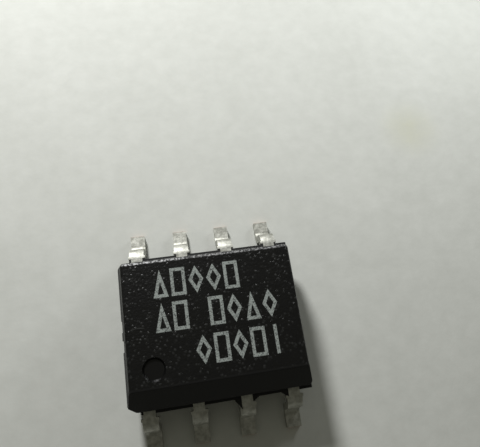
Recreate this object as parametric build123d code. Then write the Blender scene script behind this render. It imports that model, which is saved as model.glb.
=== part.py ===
from build123d import *
import os
from math import atan2, degrees, hypot, radians, tan

# Eight-lead small-outline package (SOIC-8) standing on its solder feet.
# Millimetres. The origin is the centre of the seating plane, with the foot soles at z = 0.
# X runs along the two lead rows, Y runs across them and Z points up.
# Leads 1 to 4 come out on the -Y side, from -X to +X. Leads 5 to 8 come back on the +Y side.

# Moulded body
body_length = 4.90
body_width = 3.88
body_thickness = 1.45
standoff = 0.17
end_draft_angle = 13.0
side_draft_angle = 7.0
corner_radius = 0.12
rim_radius = 0.09
bevel_width = 0.43
corner_cut_length = 0.36
corner_cut_width = 0.24

# Flash, the thin resin squeezed out between the leads, with three lumps beside the front leads.
# Each lump has the number of its lead, the side of that lead and how far it sticks out.
front_flash_reach = 0.07
back_flash_reach = 0.13
flash_left_gap = 0.33
flash_right_gap = 0.04
flash_lump_width = 0.18
flash_lumps = ((3, -1, 0.26), (3, 1, 0.11), (4, -1, 0.14))

# Dimple that marks lead 1, in the top face
dimple_diameter = 0.60
dimple_depth = 0.07
dimple_wall_width = 0.05
dimple_from_end = 0.81
dimple_from_side = 0.98

# Round mould mark in the underside, with a ring of raised radial ribs on its floor
recess_diameter = 2.45
recess_depth = 0.06
rib_height = 0.04
rib_width = 0.07
rib_ring_diameter = 1.62
rib_length_long = 0.34
rib_length_short = 0.20
rib_count = 24

# Leads, stamped from one copper sheet with the die paddle
leads_per_row = 4
lead_spacing = 1.27
lead_thickness = 0.20
lead_width = 0.41
lead_span = 6.00
foot_length = 0.64
shank_lean = 8.0
bend_radius = 0.16
neck_width = 0.31
neck_length = 0.17
dambar_stub_width = 0.46
dambar_stub_length = 0.08

# Lead fingers inside the moulding
finger_gap = 0.20
finger_root_length = 0.35
centre_finger_width = 0.62
end_finger_reach = 0.42
end_finger_overhang = 0.05
lock_hole_diameter = 0.24

# Die paddle and its two tie bars, pressed down below the leads
paddle_length = 2.50
paddle_width = 2.00
paddle_corner_radius = 0.12
paddle_downset = 0.20
tie_bar_width = 0.20
tie_bar_flat = 0.10
tie_bar_ramp_length = 0.22
tie_notch_width = 0.32
tie_notch_rise = 0.34
front_notch_depth = 0.08
back_notch_depth = 0.05

# Die and the adhesive under it
die_length = 1.56
die_width = 1.36
die_thickness = 0.28
adhesive_thickness = 0.025
adhesive_rim = 0.05

# Gold bond wires
wire_diameter = 0.033
wire_sides = 6
wire_loop_height = 0.17
wire_bend_radius = 0.07
ball_diameter = 0.085
ball_height = 0.022
stitch_length = 0.11
stitch_width = 0.07
stitch_height = 0.014
pad_inset = 0.09
stitch_inset = 0.16
centre_pad_offset = 0.30
end_pad_offset = 0.42

# Levels and places worked out from the sizes above
body_top = standoff + body_thickness
lead_bottom = standoff + (body_thickness - lead_thickness) / 2
lead_top = lead_bottom + lead_thickness
half_length = body_length / 2
half_width = body_width / 2
front_edge = -half_width - front_flash_reach
back_edge = half_width + back_flash_reach
toe = lead_span / 2
row_middle = (leads_per_row - 1) / 2
paddle_top = lead_top - paddle_downset
paddle_bottom = paddle_top - lead_thickness
adhesive_top = paddle_top + adhesive_thickness
die_top = adhesive_top + die_thickness
finger_end = paddle_width / 2 + finger_gap
end_finger_inner = paddle_length / 2 + finger_gap


def row_centre(place):
    """How far along X a lead of the row stands, counted from the -X end."""
    return (place - row_middle) * lead_spacing


def side_inset(climb):
    """How far the draft takes a long side in, at some climb away from the leads."""
    return climb * tan(radians(side_draft_angle))


def body_section(height, climb):
    """A rounded rectangle of the body at one height, at some climb away from the leads."""
    end_inset = climb * tan(radians(end_draft_angle))
    outline = RectangleRounded(
        body_length - 2 * end_inset, body_width - 2 * side_inset(climb), corner_radius)
    return Pos(0, 0, height) * outline


def bent_strip(lower_path, radii, width):
    """A flat strip of lead sheet that follows a path in the YZ plane, centred on x = 0.
    The path is the lower face of the strip."""
    path = FilletPolyline(*lower_path, radius=radii)
    profile = make_face(path.wire().offset_2d(lead_thickness, side=Side.LEFT, closed=True))
    upright = Plane.YZ * profile
    return extrude(upright, amount=width / 2, both=True)


def plan_slab(sketch):
    """A plan outline pulled up through the whole height of the package."""
    return extrude(sketch, amount=body_top + lead_thickness)


def strip_plan(width, start, end, centre):
    """A plan rectangle of one width between two distances from the middle plane."""
    return Pos(centre, (start + end) / 2) * Rectangle(width, end - start)


def flash():
    """The resin that squeezed out in the plane of the leads on both sides of the body."""
    left_end = flash_left_gap - half_length
    right_end = half_length - flash_right_gap
    middle = Pos((left_end + right_end) / 2, (front_edge + back_edge) / 2)
    plan = middle * Rectangle(right_end - left_end, back_edge - front_edge)
    for number, side, reach in flash_lumps:
        lead_side = row_centre(number - 1) + side * neck_width / 2
        plan += make_face(Polyline(
            (lead_side, front_edge),
            (lead_side, front_edge - reach),
            (lead_side + side * flash_lump_width, front_edge),
            close=True))
    return extrude(Pos(0, 0, lead_bottom) * plan, amount=lead_thickness)


def mould_body():
    """The outside of the moulded body, before anything is taken out for what it holds."""
    upper_climb = body_top - lead_top
    lower_climb = lead_bottom - standoff
    lower_half = loft([body_section(standoff, lower_climb), body_section(lead_bottom, 0)])
    lead_land = extrude(body_section(lead_bottom, 0), amount=lead_thickness)
    upper_half = loft([body_section(lead_top, 0), body_section(body_top, upper_climb)])
    body = lower_half + lead_land + upper_half + flash()

    bevel_drop = bevel_width + side_inset(upper_climb)
    bevel_edge = bevel_drop - half_width
    bevel_profile = make_face(Polyline(
        (bevel_edge, body_top),
        (bevel_edge - bevel_drop, body_top - bevel_drop),
        (bevel_edge - bevel_drop, body_top),
        close=True))
    body -= extrude(Plane.YZ * bevel_profile, amount=half_length, both=True)

    corner_plan = make_face(Polyline(
        (-half_length, corner_cut_width + front_edge),
        (-half_length, front_edge),
        (corner_cut_length - half_length, front_edge),
        close=True))
    body -= plan_slab(corner_plan)

    rims = body.edges().group_by(Axis.Z)
    return fillet(rims[-1] + rims[0], rim_radius)


def dimple():
    """The tapered hollow beside lead 1."""
    wall = Cone(
        dimple_diameter / 2 - dimple_wall_width, dimple_diameter / 2, dimple_depth,
        align=(Align.CENTER, Align.CENTER, Align.MAX))
    return Pos(dimple_from_end - half_length, dimple_from_side - half_width, body_top) * wall


def mould_mark():
    """The round recess of the underside, less the ribs that stand on its floor."""
    recess = Pos(0, 0, standoff) * Cylinder(
        recess_diameter / 2, recess_depth, align=(Align.CENTER, Align.CENTER, Align.MIN))
    rib_base = standoff + recess_depth - rib_height
    for place in range(rib_count):
        angle = 360 * place / rib_count
        length = rib_length_short if place % 3 == 1 else rib_length_long
        rib = Box(length, rib_width, rib_height, align=(Align.CENTER, Align.CENTER, Align.MIN))
        recess -= Rot(0, 0, angle) * Pos(rib_ring_diameter / 2, 0, rib_base) * rib
    return recess


def tie_notches():
    """The four notches beside the two cut tie bars, open above where the drafted wall leans away."""
    notch_height = lead_thickness + tie_notch_rise
    front_notch = Box(
        2 * front_notch_depth, tie_notch_width, notch_height,
        align=(Align.CENTER, Align.MAX, Align.MIN))
    back_notch = Box(
        2 * back_notch_depth, tie_notch_width, notch_height,
        align=(Align.CENTER, Align.MIN, Align.MIN))
    front = Pos(half_length, -tie_bar_width / 2, lead_bottom) * front_notch
    back = Pos(half_length, tie_bar_width / 2, lead_bottom) * back_notch
    pair = front + back
    return pair + mirror(pair, Plane.YZ)


def is_end_lead(place):
    return place in (0, leads_per_row - 1)


def finger_plan(place):
    """The plan of a lead inside the body, for a lead on the +Y side."""
    centre = row_centre(place)
    root_start = half_width - finger_root_length
    root = strip_plan(neck_width, root_start, half_width, centre)
    if not is_end_lead(place):
        return root + strip_plan(centre_finger_width, finger_end, root_start, centre)
    side = 1 if centre > 0 else -1
    inner = end_finger_inner
    outer = abs(centre) + neck_width / 2 + end_finger_overhang
    blade = strip_plan(outer - inner, end_finger_reach, root_start, side * (inner + outer) / 2)
    hole = Pos(side * (inner + outer) / 2, (finger_end + root_start) / 2)
    return root + blade - hole * Circle(lock_hole_diameter / 2)


def lead(place):
    """A gull-wing lead of the +Y row: finger, neck, dambar stub, shank and foot."""
    centre = row_centre(place)
    inner_end = end_finger_reach if is_end_lead(place) else finger_end
    heel = toe - foot_length
    shoulder = heel - lead_bottom * tan(radians(shank_lean))
    strip = bent_strip(
        [(inner_end, lead_bottom), (shoulder, lead_bottom), (heel, 0), (toe, 0)],
        [bend_radius, bend_radius + lead_thickness],
        lead_spacing)
    neck_end = half_width + neck_length
    stub_end = neck_end + dambar_stub_length
    plan = finger_plan(place)
    plan += strip_plan(neck_width, half_width, neck_end, centre)
    plan += strip_plan(dambar_stub_width, neck_end, stub_end, centre)
    plan += strip_plan(lead_width, stub_end, toe, centre)
    return Pos(centre, 0, 0) * strip & plan_slab(plan)


def die_paddle():
    """The paddle under the die, with the tie bars that held it in the lead frame."""
    sheet = RectangleRounded(paddle_length, paddle_width, paddle_corner_radius)
    paddle = extrude(Pos(0, 0, paddle_bottom) * sheet, amount=lead_thickness)
    start = paddle_length / 2 - tie_bar_flat
    bend = paddle_length / 2 + tie_bar_flat
    strip = bent_strip(
        [(start, paddle_bottom), (bend, paddle_bottom),
         (bend + tie_bar_ramp_length, lead_bottom), (half_length, lead_bottom)],
        [bend_radius + lead_thickness, bend_radius],
        tie_bar_width)
    for turn in (90, -90):
        paddle += Rot(0, 0, turn) * strip
    return paddle


def bond_wire(pad, landing):
    """A gold wire from a ball on the die to a stitch on a lead finger."""
    run_x = landing[0] - pad[0]
    run_y = landing[1] - pad[1]
    reach = hypot(run_x, run_y)
    loop_top = die_top + wire_loop_height
    path = FilletPolyline(
        (0, die_top + ball_height / 2),
        (0, loop_top),
        (reach / 3, loop_top),
        (reach, lead_top),
        radius=wire_bend_radius)
    upright = Plane.XZ * path
    round_section = RegularPolygon(wire_diameter / 2, wire_sides)
    section = Plane(origin=upright @ 0, z_dir=upright % 0) * round_section
    wire = sweep(section, path=upright)
    wire -= Pos(reach, 0, lead_top) * Box(
        reach, stitch_width, body_thickness, align=(Align.CENTER, Align.CENTER, Align.MAX))
    wire += Pos(0, 0, die_top) * Cylinder(
        ball_diameter / 2, ball_height, align=(Align.CENTER, Align.CENTER, Align.MIN))
    wire += Pos(reach, 0, lead_top) * Box(
        stitch_length, stitch_width, stitch_height, align=(Align.CENTER, Align.CENTER, Align.MIN))
    heading = degrees(atan2(run_y, run_x))
    return Pos(pad[0], pad[1], 0) * Rot(0, 0, heading) * wire


def wire_ends(place):
    """Where the wire of a +Y lead starts on the die and lands on its finger."""
    centre = row_centre(place)
    side = 1 if centre > 0 else -1
    if not is_end_lead(place):
        pad = (side * centre_pad_offset, die_width / 2 - pad_inset)
        return pad, (centre, finger_end + stitch_inset)
    pad = (side * (die_length / 2 - pad_inset), end_pad_offset)
    return pad, (side * (end_finger_inner + stitch_inset), end_finger_reach + 2 * stitch_inset)


parts = {}
half_turn = Rot(0, 0, 180)
for place in range(leads_per_row):
    back_number = 2 * leads_per_row - place
    front_number = leads_per_row - place
    parts[f"lead_{back_number}"] = lead(place)
    parts[f"lead_{front_number}"] = half_turn * lead(place)
    parts[f"bond_wire_{back_number}"] = bond_wire(*wire_ends(place))
    parts[f"bond_wire_{front_number}"] = half_turn * bond_wire(*wire_ends(place))

parts["die_paddle"] = die_paddle()
parts["die_attach"] = Pos(0, 0, paddle_top) * Box(
    die_length + 2 * adhesive_rim, die_width + 2 * adhesive_rim, adhesive_thickness,
    align=(Align.CENTER, Align.CENTER, Align.MIN))
parts["silicon_die"] = Pos(0, 0, adhesive_top) * Box(
    die_length, die_width, die_thickness, align=(Align.CENTER, Align.CENTER, Align.MIN))

package_body = mould_body() - dimple() - mould_mark() - tie_notches()
for held in list(parts.values()):
    package_body -= held
parts["package_body"] = package_body

os.makedirs("parts", exist_ok=True)
for name, solid in parts.items():
    export_step(solid, f"parts/{name}.step")
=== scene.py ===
from math import radians

import bmesh
import bpy
from mathutils import Matrix, Vector


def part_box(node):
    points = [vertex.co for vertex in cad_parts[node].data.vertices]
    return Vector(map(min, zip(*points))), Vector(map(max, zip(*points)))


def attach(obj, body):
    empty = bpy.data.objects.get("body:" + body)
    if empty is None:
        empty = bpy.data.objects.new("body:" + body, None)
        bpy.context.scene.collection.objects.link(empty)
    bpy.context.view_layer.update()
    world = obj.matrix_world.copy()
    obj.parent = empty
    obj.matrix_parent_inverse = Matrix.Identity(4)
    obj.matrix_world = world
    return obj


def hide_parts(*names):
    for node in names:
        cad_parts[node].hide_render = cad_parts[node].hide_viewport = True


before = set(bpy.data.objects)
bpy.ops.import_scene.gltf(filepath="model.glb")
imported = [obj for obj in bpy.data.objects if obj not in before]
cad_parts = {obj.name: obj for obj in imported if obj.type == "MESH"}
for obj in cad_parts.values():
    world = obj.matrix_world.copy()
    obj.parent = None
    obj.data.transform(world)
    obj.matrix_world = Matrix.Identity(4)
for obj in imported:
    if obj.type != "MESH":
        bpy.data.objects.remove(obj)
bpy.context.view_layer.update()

MM = 0.001
scene = bpy.context.scene
scene.view_settings.view_transform = "Standard"

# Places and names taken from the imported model
body_low, body_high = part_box("package_body")
top_face = body_high.z
under_face = body_low.z
toe_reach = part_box("lead_5")[1].y
lead_names = sorted(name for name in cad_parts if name.startswith("lead_"))
wire_names = sorted(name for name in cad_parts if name.startswith("bond_wire_"))


# Shader building: a wrapped socket for maths, and a finish whose node method makes every node

class Field:
    """A shader socket that takes part in plain arithmetic."""

    def __init__(self, finish, socket):
        self.finish = finish
        self.socket = socket

    def maths(self, operation, *values):
        made = self.finish.node("ShaderNodeMath", {"operation": operation}, dict(enumerate(values)))
        return made["Value"]

    def __add__(self, other):
        return self.maths("ADD", self, other)

    def __radd__(self, other):
        return self.maths("ADD", other, self)

    def __sub__(self, other):
        return self.maths("SUBTRACT", self, other)

    def __rsub__(self, other):
        return self.maths("SUBTRACT", other, self)

    def __mul__(self, other):
        return self.maths("MULTIPLY", self, other)

    def __rmul__(self, other):
        return self.maths("MULTIPLY", other, self)

    def size(self):
        """The value without its sign."""
        return self.maths("ABSOLUTE", self)

    def above(self, level, softness):
        """0 well under the level and 1 well over it, with a soft step between."""
        return self.finish.node(
            "ShaderNodeMapRange", {"interpolation_type": "SMOOTHSTEP"},
            {"Value": self, "From Min": level - softness, "From Max": level + softness})["Result"]


class Finish:
    """A material whose nodes are added one call at a time."""

    CELL_TURN = (0.5, 0.3, 0.7)

    def __init__(self, name):
        self.material = bpy.data.materials.new(name)
        self.material.use_nodes = True
        self.tree = self.material.node_tree
        self.surface = self.tree.nodes["Principled BSDF"]

    def node(self, kind, settings, inputs):
        """Adds a node, sets it up, then fills its sockets, by name or by place, with values or links."""
        made = self.tree.nodes.new(kind)
        for key, value in settings.items():
            setattr(made, key, value)
        in_use = [socket for socket in made.inputs if socket.enabled]
        sockets = {socket.name: socket for socket in in_use}
        sockets.update(enumerate(in_use))
        for key, value in inputs.items():
            self.fill(sockets[key], value)
        return {socket.name: Field(self, socket) for socket in made.outputs if socket.enabled}

    def fill(self, socket, value):
        """Links a field to a socket, or sets the socket to a number, a vector or an opaque colour."""
        if isinstance(value, Field):
            self.tree.links.new(value.socket, socket)
        elif socket.type == "RGBA":
            socket.default_value = (*value, 1)
        else:
            socket.default_value = value

    def set(self, **values):
        """Fills sockets of the surface shader, with an underscore for each space of a name."""
        for key, value in values.items():
            self.fill(self.surface.inputs[key.replace("_", " ")], value)

    def place(self):
        """The point being shaded, in the object's own coordinates."""
        return self.node("ShaderNodeTexCoord", {}, {})["Object"]

    def axes(self):
        """The X, Y and Z of the point being shaded."""
        return self.node("ShaderNodeSeparateXYZ", {}, {"Vector": self.place()})

    def stretched(self, factors):
        """The point being shaded, scaled along each axis. A small factor draws a pattern out."""
        return self.node("ShaderNodeMapping", {}, {"Vector": self.place(), "Scale": factors})["Vector"]

    def turned(self, angles):
        """The point being shaded, turned so that a pattern's grid doesn't line up with the faces."""
        return self.node("ShaderNodeMapping", {}, {"Vector": self.place(), "Rotation": angles})["Vector"]

    def noise(self, grain, detail=3.0, roughness=0.5, vector=None):
        """Cloudy noise whose lumps are about one grain across, in metres."""
        return self.node(
            "ShaderNodeTexNoise", {},
            {"Vector": vector or self.place(), "Scale": 1 / grain, "Detail": detail,
             "Roughness": roughness})["Fac"]

    def cells(self, grain):
        """Scattered cells of about one grain: the distance to each, and a random value for it."""
        made = self.node(
            "ShaderNodeTexVoronoi", {"feature": "F1"},
            {"Vector": self.turned(self.CELL_TURN), "Scale": 1 / grain})
        pick = self.node("ShaderNodeSeparateColor", {}, {"Color": made["Color"]})["Red"]
        return made["Distance"], pick

    def blend(self, factor, first, second):
        """The first colour where the factor is 0 and the second where it is 1."""
        return self.node(
            "ShaderNodeMix", {"data_type": "RGBA"}, {"Factor": factor, "A": first, "B": second})["Result"]

    def bump(self, height, distance, strength):
        """Tilts the surface by a height field."""
        normal = self.node(
            "ShaderNodeBump", {}, {"Height": height, "Distance": distance, "Strength": strength})["Normal"]
        self.set(Normal=normal)


# Moulding compound

RESIN_DARK = (0.0016, 0.0016, 0.0016)
RESIN_LIGHT = (0.0038, 0.0038, 0.0037)
# Colour of the pale specks and of the scratch: bare filler and wear, with the specks partly painted
# glints.
PALE_FILLER_AND_GLINT = (0.085, 0.088, 0.084)
WALL_ROUGHNESS = 0.68
FACE_ROUGHNESS = 0.27
RIM_ROUGHNESS = 0.48

RIM_DEPTH = 0.09 * MM
SKIN_DEPTH = 0.05 * MM
RIM_FROM_MIDDLE = 1.765 * MM
BEVEL_EDGE = -1.40 * MM
CRISP = 0.01 * MM
SOFT = 0.05 * MM

CLOUD_GRAIN = 0.5 * MM
PIT_GRAIN = 0.055 * MM
SPECK_GRAIN = 0.078 * MM
EROSION_DEPTH = 0.010 * MM

SCRATCH_MIDDLE = (-1.97 * MM, 0.108 * MM)
SCRATCH_CURVATURE = 1.0 / MM
SCRATCH_HALF_WIDTH = 0.012 * MM
SCRATCH_HALF_LENGTH = 0.17 * MM
SCRATCH_SIDE_FADE = 0.008 * MM
SCRATCH_END_FADE = 0.04 * MM


def large_faces(axes, depth):
    """1 within a depth of the underside, and of the top face as far as its bevel, and 0 on the walls."""
    height = axes["Z"]
    behind_bevel = axes["Y"].above(BEVEL_EDGE, SOFT)
    top = height.above(top_face - depth, CRISP) * behind_bevel
    return top + (1 - height.above(under_face + depth, CRISP))


def bowed_scratch(axes):
    """1 along the short bowed scratch of the top face, and 0 beside it."""
    along = axes["X"] - SCRATCH_MIDDLE[0]
    across = axes["Y"] - SCRATCH_MIDDLE[1] + along * along * SCRATCH_CURVATURE
    past_side = across.size().above(SCRATCH_HALF_WIDTH, SCRATCH_SIDE_FADE)
    past_end = along.size().above(SCRATCH_HALF_LENGTH, SCRATCH_END_FADE)
    return (1 - past_side) * (1 - past_end)


def mould_compound():
    """Black filled epoxy: eroded down to bare filler on the two large faces, plain on the walls. Its pale
    specks are partly filler and partly painted glints.
    """
    finish = Finish("mould_compound")
    axes = finish.axes()
    level = large_faces(axes, RIM_DEPTH)
    eroded = large_faces(axes, SKIN_DEPTH)
    rim = axes["Y"].size().above(RIM_FROM_MIDDLE, CRISP) * eroded
    glitter = finish.noise(PIT_GRAIN, detail=2.0, roughness=0.6).above(0.52, 0.05)
    pits = finish.noise(PIT_GRAIN, detail=4.0, roughness=0.65)
    clouds = finish.noise(CLOUD_GRAIN, detail=2.0)
    distance, pick = finish.cells(SPECK_GRAIN)
    # Scattered specks of bare filler. In the base colour they also stand in for glints, as painted
    # highlights.
    filler_grains_and_glints = (1 - distance.above(0.40, 0.30)) * pick.above(0.71, 0.13)
    ground = finish.blend(clouds, RESIN_DARK, RESIN_LIGHT)
    # Pale specks in the base colour are partly bare filler and partly painted glints. The scratch is real
    # wear.
    pale = (filler_grains_and_glints * 0.16 + bowed_scratch(axes) * 0.3) * eroded
    finish.set(
        Base_Color=finish.blend(pale, ground, PALE_FILLER_AND_GLINT),
        Roughness=WALL_ROUGHNESS - level * (WALL_ROUGHNESS - FACE_ROUGHNESS)
        + rim * (RIM_ROUGHNESS - FACE_ROUGHNESS) + pits * 0.06,
        Coat_Weight=rim * glitter,
        Coat_Roughness=0.52,
        Coat_IOR=2.35)
    relief = pits * (0.12 + eroded + rim * 0.8) + filler_grains_and_glints * eroded * 0.85
    finish.bump(relief, EROSION_DEPTH, strength=0.85)
    return finish.material


# Metals and the die

TIN_DULL = (0.36, 0.36, 0.32)
TIN_BRIGHT = (0.59, 0.59, 0.54)
COPPER_CUT = (0.34, 0.19, 0.12)
CUT_DEPTH = 0.006 * MM
CUT_FADE = 0.004 * MM
MOTTLE_GRAIN = 0.13 * MM
DRAWN_GRAIN = 0.05 * MM
FINE_GRAIN = 0.03 * MM
TIN_RELIEF = 0.014 * MM


def tin_plating():
    """Dull tin over copper: mottled, drawn along the lead, bare where the tool cut the toe."""
    finish = Finish("lead_plating")
    from_middle = finish.axes()["Y"].size()
    cut_end = from_middle.above(toe_reach - CUT_DEPTH, CUT_FADE)
    mottle = finish.noise(MOTTLE_GRAIN)
    fine = finish.noise(FINE_GRAIN, roughness=0.6)
    drawn = finish.noise(DRAWN_GRAIN, roughness=0.6, vector=finish.stretched((1.0, 0.16, 0.16)))
    plated = finish.blend(mottle.above(0.50, 0.22), TIN_DULL, TIN_BRIGHT)
    finish.set(
        Base_Color=finish.blend(cut_end * 0.8, plated, COPPER_CUT),
        Metallic=1.0 - cut_end * 0.25,
        Roughness=0.46 + mottle * 0.18 + drawn * 0.08)
    finish.bump(mottle * 0.9 + drawn * 0.4 + fine * 0.2, TIN_RELIEF, strength=0.8)
    return finish.material


COPPER_BROWN = (0.20, 0.13, 0.075)
COPPER_BRIGHT = (0.50, 0.34, 0.20)
TARNISH_GRAIN = 0.08 * MM
TARNISH_RELIEF = 0.006 * MM


def frame_copper():
    """Bare rolled copper alloy, browned in random patches."""
    finish = Finish("frame_copper")
    tarnish = finish.noise(TARNISH_GRAIN, detail=4.0, roughness=0.6)
    finish.set(
        Base_Color=finish.blend(tarnish, COPPER_BROWN, COPPER_BRIGHT),
        Metallic=1.0,
        Roughness=0.34 + tarnish * 0.2)
    finish.bump(tarnish, TARNISH_RELIEF, strength=0.6)
    return finish.material


FLAKE_DARK = (0.26, 0.26, 0.27)
FLAKE_BRIGHT = (0.62, 0.62, 0.63)
FLAKE_GRAIN = 0.02 * MM
FLAKE_RELIEF = 0.004 * MM


def silver_adhesive():
    """Cured epoxy filled with silver flakes."""
    finish = Finish("die_adhesive")
    distance, pick = finish.cells(FLAKE_GRAIN)
    finish.set(
        Base_Color=finish.blend(pick, FLAKE_DARK, FLAKE_BRIGHT),
        Metallic=pick.above(0.5, 0.3) * 0.7,
        Roughness=0.38 + distance * 0.2)
    finish.bump(distance, FLAKE_RELIEF, strength=0.6)
    return finish.material


DIE_DARK = (0.05, 0.06, 0.09)
TRACK_METAL = (0.42, 0.36, 0.30)
BLOCK_GRAIN = 0.16 * MM
TRACK_GRAIN = 0.02 * MM


def silicon():
    """A die with blocks of fine metal tracks."""
    finish = Finish("silicon")
    blocks = finish.node(
        "ShaderNodeTexVoronoi", {"feature": "F1", "distance": "CHEBYCHEV"},
        {"Vector": finish.place(), "Scale": 1 / BLOCK_GRAIN})
    pick = finish.node("ShaderNodeSeparateColor", {}, {"Color": blocks["Color"]})["Green"]
    tracks = finish.noise(
        TRACK_GRAIN, detail=1.0, roughness=0.4, vector=finish.stretched((1.0, 0.08, 1.0)))
    finish.set(
        Base_Color=finish.blend(pick * tracks, DIE_DARK, TRACK_METAL),
        Metallic=0.55,
        Roughness=0.16 + tracks * 0.14)
    return finish.material


GOLD_DEEP = (0.86, 0.56, 0.18)
GOLD_PALE = (1.0, 0.74, 0.34)
WIRE_GRAIN = 0.02 * MM


def bond_gold():
    """Drawn gold wire."""
    finish = Finish("bond_gold")
    drawn = finish.noise(WIRE_GRAIN, detail=2.0)
    finish.set(
        Base_Color=finish.blend(drawn, GOLD_DEEP, GOLD_PALE),
        Metallic=1.0,
        Roughness=0.18 + drawn * 0.12)
    return finish.material


# Ink and paper

INK_WORN = (0.035, 0.040, 0.038)
INK_PALE = (0.30, 0.33, 0.31)
INK_GRAIN = 0.038 * MM
INK_RELIEF = 0.012 * MM


def marking_ink():
    """Pale print, broken up by the grain of the face under it."""
    finish = Finish("marking_ink")
    grain = finish.noise(INK_GRAIN, detail=4.0, roughness=0.7)
    clouds = finish.noise(CLOUD_GRAIN, detail=2.0)
    cover = (grain + clouds * 0.12).above(0.50, 0.10)
    finish.set(
        Base_Color=finish.blend(cover, INK_WORN, INK_PALE),
        Roughness=0.62 - cover * 0.08)
    finish.bump(grain, INK_RELIEF, strength=0.8)
    return finish.material


PAPER_DARK = (0.505, 0.515, 0.475)
PAPER_LIGHT = (0.705, 0.715, 0.675)
PAPER_STAIN = (0.46, 0.45, 0.22)
STAIN_PLACE = (7.85 * MM, 5.9 * MM, 0)
STAIN_REACH = 1.4 * MM
FIBRE_GRAIN = 0.5 * MM
FIBRE_RELIEF = 0.02 * MM
SHEET_GRAIN = 2.5 * MM


def pale_paper():
    """The plain pale paper that the part stands on, with one faint yellow stain."""
    finish = Finish("pale_paper")
    fibre = finish.noise(FIBRE_GRAIN, detail=5.0, roughness=0.6)
    clouds = finish.noise(SHEET_GRAIN)
    paper = finish.blend(fibre * 0.6 + clouds * 0.4, PAPER_DARK, PAPER_LIGHT)
    from_stain = finish.node(
        "ShaderNodeVectorMath", {"operation": "DISTANCE"}, {0: finish.place(), 1: STAIN_PLACE})["Value"]
    stain = (1 - from_stain.above(STAIN_REACH / 2, STAIN_REACH / 2)) * fibre
    finish.set(
        Base_Color=finish.blend(stain * 0.45, paper, PAPER_STAIN),
        Roughness=0.85)
    finish.bump(fibre, FIBRE_RELIEF, strength=0.35)
    return finish.material


# Pieces

WELD_GAP = 0.0004 * MM
FLAT_ANGLE = radians(0.5)
SHARP_ANGLE = radians(35)
FLAT_AREA = 0.05 * MM * MM
LEAD_EDGE_WIDTH = 0.030 * MM
LEAD_EDGE_SEGMENTS = 3


def add_piece(name, shape, material):
    """Turns a finished bmesh into a piece of the package."""
    mesh = bpy.data.meshes.new(name)
    shape.to_mesh(mesh)
    shape.free()
    mesh.materials.append(material)
    piece = bpy.data.objects.new(name, mesh)
    scene.collection.objects.link(piece)
    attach(piece, "root")
    return piece


def welded(node):
    """A bmesh of a CAD node with its loose triangles joined and its flats made whole."""
    shape = bmesh.new()
    shape.from_mesh(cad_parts[node].data)
    bmesh.ops.remove_doubles(shape, verts=shape.verts, dist=WELD_GAP)
    bmesh.ops.dissolve_limit(
        shape, angle_limit=FLAT_ANGLE, verts=shape.verts, edges=shape.edges, use_dissolve_boundaries=False)
    return shape


def soften(shape, width, segments):
    """Rounds the outer corners of a shape, all but those of its curved stretches."""
    corners = [
        edge for edge in shape.edges
        if edge.is_manifold and edge.calc_face_angle(0) > SHARP_ANGLE and edge.is_convex]
    bmesh.ops.bevel(
        shape, geom=corners, offset=width, offset_type="OFFSET", segments=segments, profile=0.5,
        affect="EDGES", clamp_overlap=True, material=-1)


def smooth_curves(shape):
    """Shades the small facets of curved stretches as curves and keeps every flat flat."""
    for face in shape.faces:
        face.smooth = True
    for edge in shape.edges:
        meets_flat = any(face.calc_area() > FLAT_AREA for face in edge.link_faces)
        edge.smooth = edge.calc_face_angle(0) < SHARP_ANGLE and not meets_flat


def plated_lead(node, material):
    """A stamped lead with the edges that stamping and plating leave."""
    shape = welded(node)
    soften(shape, LEAD_EDGE_WIDTH, LEAD_EDGE_SEGMENTS)
    smooth_curves(shape)
    piece = add_piece(f"plated_{node}", shape, material)
    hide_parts(node)


def moulded_body(material):
    """The moulding with its curved corners and rims shaded smooth."""
    shape = welded("package_body")
    smooth_curves(shape)
    piece = add_piece("moulded_body", shape, material)
    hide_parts("package_body")


def dress(nodes, material):
    """Gives CAD nodes that keep their own shape a finish."""
    for name in nodes:
        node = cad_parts[name]
        node.data.materials.clear()
        node.data.materials.append(material)


# The print on the top face: plain marks in equal cells.
# Each run of marks has the height of its middle on the face, its left end and its kinds of mark.

PRINT_LIFT = 0.003 * MM
PRINT_STROKE = 0.088 * MM
CELL_WIDTH = 0.40 * MM
CELL_HEIGHT = 0.75 * MM
CELL_STEP = 0.478 * MM
UPPER_ROW = 1.19 * MM
MIDDLE_ROW = 0.295 * MM
LOWER_ROW = -0.655 * MM
PRINT_RUNS = (
    (UPPER_ROW, -1.49 * MM, ("triangle", "rectangle", "diamond", "diamond", "rectangle")),
    (MIDDLE_ROW, -1.51 * MM, ("triangle", "rectangle")),
    (MIDDLE_ROW, -0.09 * MM, ("rectangle", "diamond", "triangle", "diamond")),
    (LOWER_ROW, -0.54 * MM, ("diamond", "rectangle", "diamond", "rectangle", "bar")),
)


def polygon(shape, corners):
    """One flat face on the top face of the body."""
    points = [shape.verts.new((x, y, top_face)) for x, y in corners]
    face = shape.faces.new(points)
    face.normal_update()
    return face


def outlined(shape, corners):
    """A closed outline of one stroke's width."""
    face = polygon(shape, corners)
    bmesh.ops.inset_individual(shape, faces=[face], thickness=PRINT_STROKE, use_even_offset=True)
    bmesh.ops.delete(shape, geom=[face], context="FACES")


def cell_mark(shape, kind, left, middle):
    """One mark of the print, in a cell of one width and height."""
    right = left + CELL_WIDTH
    low = middle - CELL_HEIGHT / 2
    high = middle + CELL_HEIGHT / 2
    centre = left + CELL_WIDTH / 2
    if kind == "triangle":
        outlined(shape, ((left, low), (right, low), (centre, high)))
    elif kind == "rectangle":
        outlined(shape, ((left, low), (right, low), (right, high), (left, high)))
    elif kind == "diamond":
        outlined(shape, ((centre, low), (right, middle), (centre, high), (left, middle)))
    elif kind == "bar":
        right = centre + PRINT_STROKE / 2
        left = right - PRINT_STROKE
        polygon(shape, ((left, low), (right, low), (right, high), (left, high)))


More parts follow.
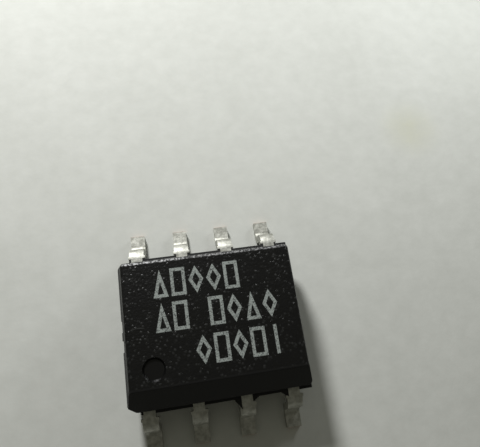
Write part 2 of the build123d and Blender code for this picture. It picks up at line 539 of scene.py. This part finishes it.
def face_print(material):
    """All the marks as one thin raised piece."""
    shape = bmesh.new()
    for middle, start, kinds in PRINT_RUNS:
        for place, kind in enumerate(kinds):
            cell_mark(shape, kind, start + place * CELL_STEP, middle)
    raised = bmesh.ops.extrude_face_region(shape, geom=shape.faces[:])
    tops = [item for item in raised["geom"] if isinstance(item, bmesh.types.BMVert)]
    bmesh.ops.translate(shape, verts=tops, vec=(0, 0, PRINT_LIFT))
    bmesh.ops.recalc_face_normals(shape, faces=shape.faces)
    add_piece("face_print", shape, material)


# Paper, lights and camera

FLOOR_SIDE = 400 * MM
KEY_FROM = Vector((-8.9, 31.7, 22.4)) * MM
KEY_SIZE = 7 * MM
KEY_POWER = 0.0155
KEY_COLOUR = (0.995, 1.0, 1.0)
SIDE_FROM = Vector((13.9, 13.3, 8.4)) * MM
SIDE_SIZE = 6 * MM
SIDE_POWER = 0.0007
SIDE_COLOUR = (0.96, 0.99, 1.0)
SKY = (0.110, 0.109, 0.091)

CAMERA_SPOT = Vector((-0.5997, -1.2921, 13.8856)) * MM
CAMERA_AIM = Vector((1.1675, 2.7961, 1.0)) * MM
CAMERA_ROLL = -8.943
CAMERA_NEAREST = 0.5 * MM
IMAGE_WIDTH = 480
FOCAL_PIXELS = 460.74
SENSOR_WIDTH = 36.0
PICTURE_UP = Vector((0, 1, 0))


def lay_floor():
    """One flat sheet under the feet, at the seating plane."""
    shape = bmesh.new()
    bmesh.ops.create_grid(shape, x_segments=1, y_segments=1, size=FLOOR_SIDE / 2)
    mesh = bpy.data.meshes.new("floor")
    shape.to_mesh(mesh)
    shape.free()
    mesh.materials.append(pale_paper())
    floor = bpy.data.objects.new("floor", mesh)
    scene.collection.objects.link(floor)


def aim(spot, target, roll=0.0):
    """A turn that looks from one point to another, with the picture rolled by an angle in degrees."""
    forward = (target - spot).normalized()
    right = forward.cross(PICTURE_UP).normalized()
    up = right.cross(forward)
    level = Matrix((right, up, -forward)).transposed()
    return (Matrix.Rotation(radians(-roll), 3, forward) @ level).to_euler()


def add_lamp(name, spot, size, power, colour):
    """A round area lamp turned to the part, itself unseen."""
    lamp = bpy.data.lights.new(name, "AREA")
    lamp.shape = "DISK"
    lamp.size = size
    lamp.energy = power
    lamp.color = colour
    holder = bpy.data.objects.new(name, lamp)
    holder.location = spot
    holder.rotation_euler = aim(spot, Vector((0, 0, 0)))
    holder.visible_camera = False
    scene.collection.objects.link(holder)


def light_up():
    """One strong lamp behind the part, a weak one at its right, and a dim even sky."""
    add_lamp("key", KEY_FROM, KEY_SIZE, KEY_POWER, KEY_COLOUR)
    add_lamp("side", SIDE_FROM, SIDE_SIZE, SIDE_POWER, SIDE_COLOUR)
    world = bpy.data.worlds.new("sky")
    world.use_nodes = True
    world.node_tree.nodes["Background"].inputs["Color"].default_value = (*SKY, 1)
    scene.world = world


def set_camera():
    """The viewpoint of the photograph."""
    lens = bpy.data.cameras.new("camera")
    lens.sensor_width = SENSOR_WIDTH
    lens.lens = FOCAL_PIXELS / IMAGE_WIDTH * SENSOR_WIDTH
    lens.clip_start = CAMERA_NEAREST
    camera = bpy.data.objects.new("camera", lens)
    camera.location = CAMERA_SPOT
    camera.rotation_euler = aim(CAMERA_SPOT, CAMERA_AIM, CAMERA_ROLL)
    scene.collection.objects.link(camera)
    scene.camera = camera


moulded_body(mould_compound())
plating = tin_plating()
for lead_name in lead_names:
    plated_lead(lead_name, plating)
face_print(marking_ink())
dress(["die_paddle"], frame_copper())
dress(["die_attach"], silver_adhesive())
dress(["silicon_die"], silicon())
dress(wire_names, bond_gold())
lay_floor()
light_up()
set_camera()
